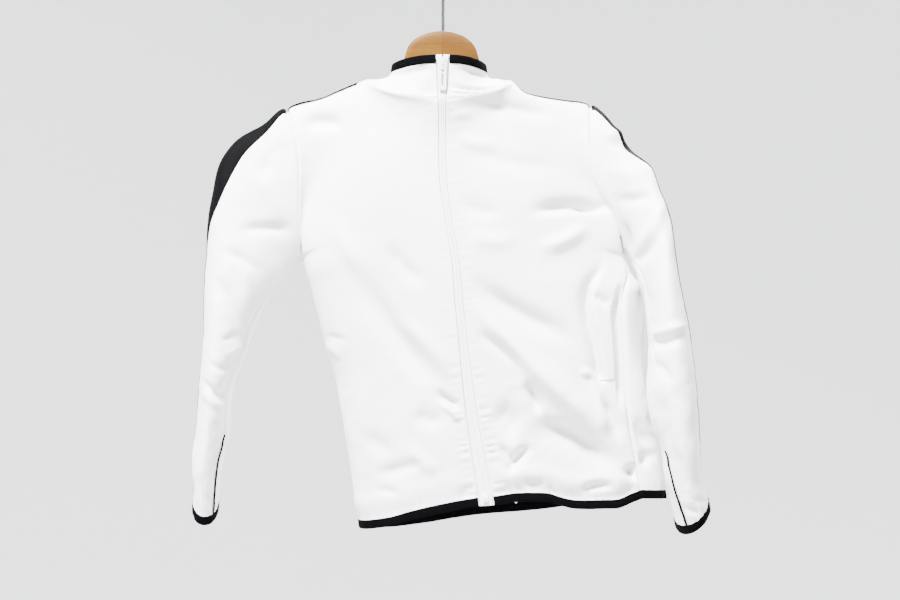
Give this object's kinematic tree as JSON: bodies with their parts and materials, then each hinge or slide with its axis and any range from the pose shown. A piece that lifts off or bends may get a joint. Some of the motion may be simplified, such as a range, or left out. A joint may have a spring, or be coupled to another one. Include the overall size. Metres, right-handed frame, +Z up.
{
  "type": "windbreaker on hanger",
  "caption": "Child's white windbreaker with stand collar, full front zip, two-piece sleeves and dark bindings, hung on a wooden hanger with a wire hook.",
  "frame": {"origin": "inner top of the hanger's hook, where it sits on a rail", "axes": "+Z up, the garment's front faces -Y, +X towards the wearer's left"},
  "size_m": [0.5631, 0.1558, 0.6346],
  "materials": {
    "shell": "white plain-weave polyester, slight sheen",
    "binding": "black elastic binding, matte",
    "band": "black smooth tape, slight sheen",
    "tape": "white herringbone zip tape",
    "coil": "white polyester coil and moulded box",
    "enamel": "white enamel",
    "wood": "pale lacquered beech",
    "wire": "bright plated wire"
  },
  "bodies": {
    "jacket": {"front_right": "shell", "front_left": "shell", "back": "shell", "collar": "shell", "sleeve_right_top": "shell", "sleeve_right_under": "shell", "sleeve_left_top": "shell", "sleeve_left_under": "shell", "collar_binding": "binding", "hem_binding": "binding", "cuff_binding_right": "binding", "cuff_binding_left": "binding", "sleeve_band_right": "band", "sleeve_band_left": "band", "shoulder_band_right": "band", "shoulder_band_left": "band", "forearm_piping_right": "band", "forearm_piping_left": "band", "pocket_welt_right": "shell", "pocket_welt_left": "shell", "zip_tape_right": "tape", "zip_tape_left": "tape", "zip_coil_right": "coil", "zip_coil_left": "coil", "zip_slider": "enamel", "zip_bottom_box": "coil", "hook_wire": "wire", "hanger_arm_right": "wood", "hanger_arm_left": "wood"},
    "pull_tab": {"zip_pull_tab": "enamel"}
  },
  "joints": [
    {"name": "pull_tab_hinge", "type": "hinge", "parent": "jacket", "child": "pull_tab", "pos_m": [-0.00018, -0.04943, -0.12738], "axis": [-0.9999, -0.013, 0.008], "range_deg": [0, 165]}
  ]
}
